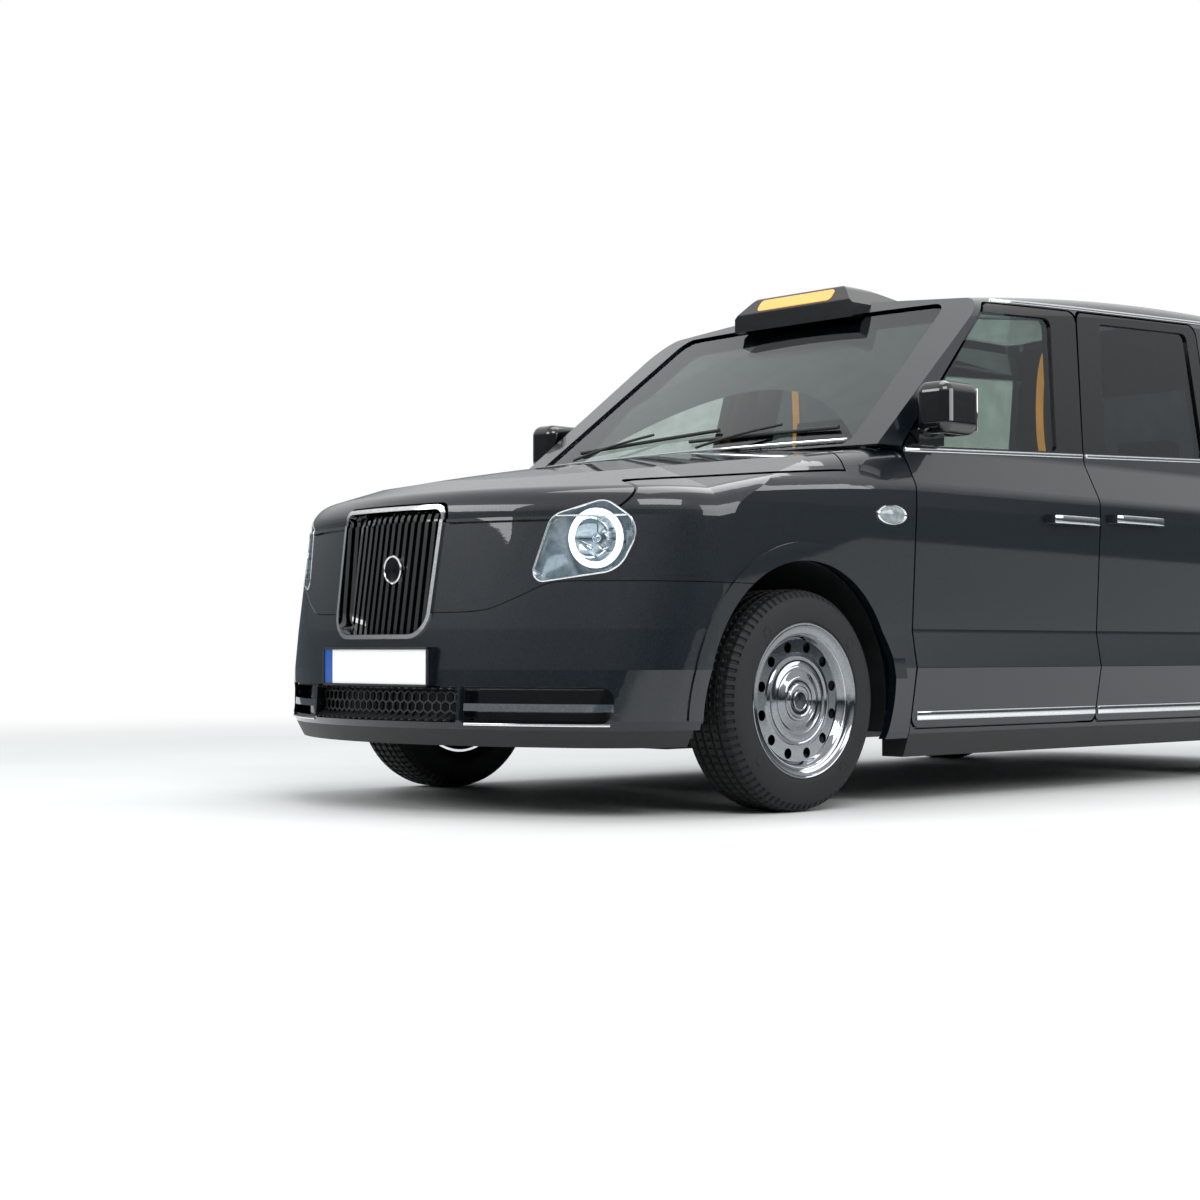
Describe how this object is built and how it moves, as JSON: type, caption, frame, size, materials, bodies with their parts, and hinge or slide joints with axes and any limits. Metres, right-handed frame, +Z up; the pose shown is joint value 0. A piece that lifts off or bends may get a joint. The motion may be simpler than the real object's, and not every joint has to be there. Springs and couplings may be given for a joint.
{
  "type": "taxi cab",
  "caption": "Tall purpose-built electric taxi cab with a bluff upright grille, round lamps, a roof sign and rear-hinged rear doors.",
  "frame": {"origin": "on the ground under the middle of the car", "axes": "+X to the car's left, +Y to the rear, +Z up"},
  "size_m": [2.036, 4.8524, 1.8867],
  "materials": {
    "paint": "gloss metallic",
    "glass": "clear",
    "dark_glass": "tinted",
    "chrome": "polished",
    "wheel_chrome": "polished",
    "black_plastic": "matt",
    "gloss_black": "gloss",
    "orange_plastic": "gloss",
    "red_plastic": "gloss",
    "lamp_plastic": "clear",
    "plate_plastic": "satin",
    "underbody": "matt",
    "dark_steel": "satin",
    "cast_iron": "cast",
    "cast_aluminium": "cast",
    "seat_fabric": "woven",
    "tyre": "matt"
  },
  "bodies": {
    "body": {"body_shell": "paint", "cabin_trims": "black_plastic", "fixed_glass": "glass", "floor_pan": "underbody", "front_bumper": "paint", "front_wings": "paint", "grille_inserts": "black_plastic", "grille_surround": "chrome", "headlamps": "lamp_plastic", "lower_trims": "black_plastic", "number_plate_front": "plate_plastic", "power_units": "cast_aluminium", "rear_bumper": "paint", "roof_panel": "paint", "roof_sign": "gloss_black", "roof_sign_lens": "orange_plastic", "seats": "seat_fabric", "steering_wheel": "black_plastic", "suspension": "dark_steel", "tail_lamps": "red_plastic", "wheelhouse_liners": "black_plastic"},
    "bonnet": {"bonnet": "paint"},
    "tailgate": {"tailgate": "paint", "tailgate_glass": "dark_glass", "number_plate_rear": "plate_plastic"},
    "door_front_left": {"door_front_left": "paint", "door_front_glass_left": "glass", "mirror_left": "gloss_black"},
    "door_front_right": {"door_front_right": "paint", "door_front_glass_right": "glass", "mirror_right": "gloss_black"},
    "door_rear_left": {"door_rear_left": "paint", "door_rear_glass_left": "dark_glass"},
    "door_rear_right": {"door_rear_right": "paint", "door_rear_glass_right": "dark_glass"},
    "knuckle_left": {"knuckle_left": "cast_iron"},
    "knuckle_right": {"knuckle_right": "cast_iron"},
    "wheel_front_left": {"rim_front_left": "wheel_chrome", "tyre_front_left": "tyre"},
    "wheel_front_right": {"rim_front_right": "wheel_chrome", "tyre_front_right": "tyre"},
    "wheel_rear_left": {"rim_rear_left": "wheel_chrome", "tyre_rear_left": "tyre"},
    "wheel_rear_right": {"rim_rear_right": "wheel_chrome", "tyre_rear_right": "tyre"}
  },
  "joints": [
    {"name": "bonnet_hinge", "type": "hinge", "parent": "body", "child": "bonnet", "pos_m": [0, -1.085, 1.194], "axis": [-1, 0, 0], "range_deg": [0, 50]},
    {"name": "tailgate_hinge", "type": "hinge", "parent": "body", "child": "tailgate", "pos_m": [0, 2.225, 1.775], "axis": [1, 0, 0], "range_deg": [0, 85]},
    {"name": "door_front_left_hinge", "type": "hinge", "parent": "body", "child": "door_front_left", "pos_m": [0.938, -0.926, 0.7], "axis": [0, 0, -1], "range_deg": [0, 70]},
    {"name": "door_front_right_hinge", "type": "hinge", "parent": "body", "child": "door_front_right", "pos_m": [-0.938, -0.926, 0.7], "axis": [0, 0, 1], "range_deg": [0, 70]},
    {"name": "door_rear_left_hinge", "type": "hinge", "parent": "body", "child": "door_rear_left", "pos_m": [0.938, 1.038, 0.7], "axis": [0, 0, 1], "range_deg": [0, 85]},
    {"name": "door_rear_right_hinge", "type": "hinge", "parent": "body", "child": "door_rear_right", "pos_m": [-0.938, 1.038, 0.7], "axis": [0, 0, -1], "range_deg": [0, 85]},
    {"name": "steer_left", "type": "hinge", "parent": "body", "child": "knuckle_left", "pos_m": [0.75, -1.463, 0.343], "axis": [0, 0, 1], "range_deg": [-50, 50]},
    {"name": "steer_right", "type": "hinge", "parent": "body", "child": "knuckle_right", "pos_m": [-0.75, -1.463, 0.343], "axis": [0, 0, 1], "range_deg": [-50, 50]},
    {"name": "wheel_front_left_spin", "type": "hinge", "parent": "knuckle_left", "child": "wheel_front_left", "pos_m": [0.818, -1.463, 0.343], "axis": [1, 0, 0], "continuous": true},
    {"name": "wheel_front_right_spin", "type": "hinge", "parent": "knuckle_right", "child": "wheel_front_right", "pos_m": [-0.818, -1.463, 0.343], "axis": [1, 0, 0], "continuous": true},
    {"name": "wheel_rear_left_spin", "type": "hinge", "parent": "body", "child": "wheel_rear_left", "pos_m": [0.818, 1.522, 0.343], "axis": [1, 0, 0], "continuous": true},
    {"name": "wheel_rear_right_spin", "type": "hinge", "parent": "body", "child": "wheel_rear_right", "pos_m": [-0.818, 1.522, 0.343], "axis": [1, 0, 0], "continuous": true}
  ],
  "couplings": [
    {"joint": "steer_right", "follows": "steer_left", "ratio": 1}
  ]
}
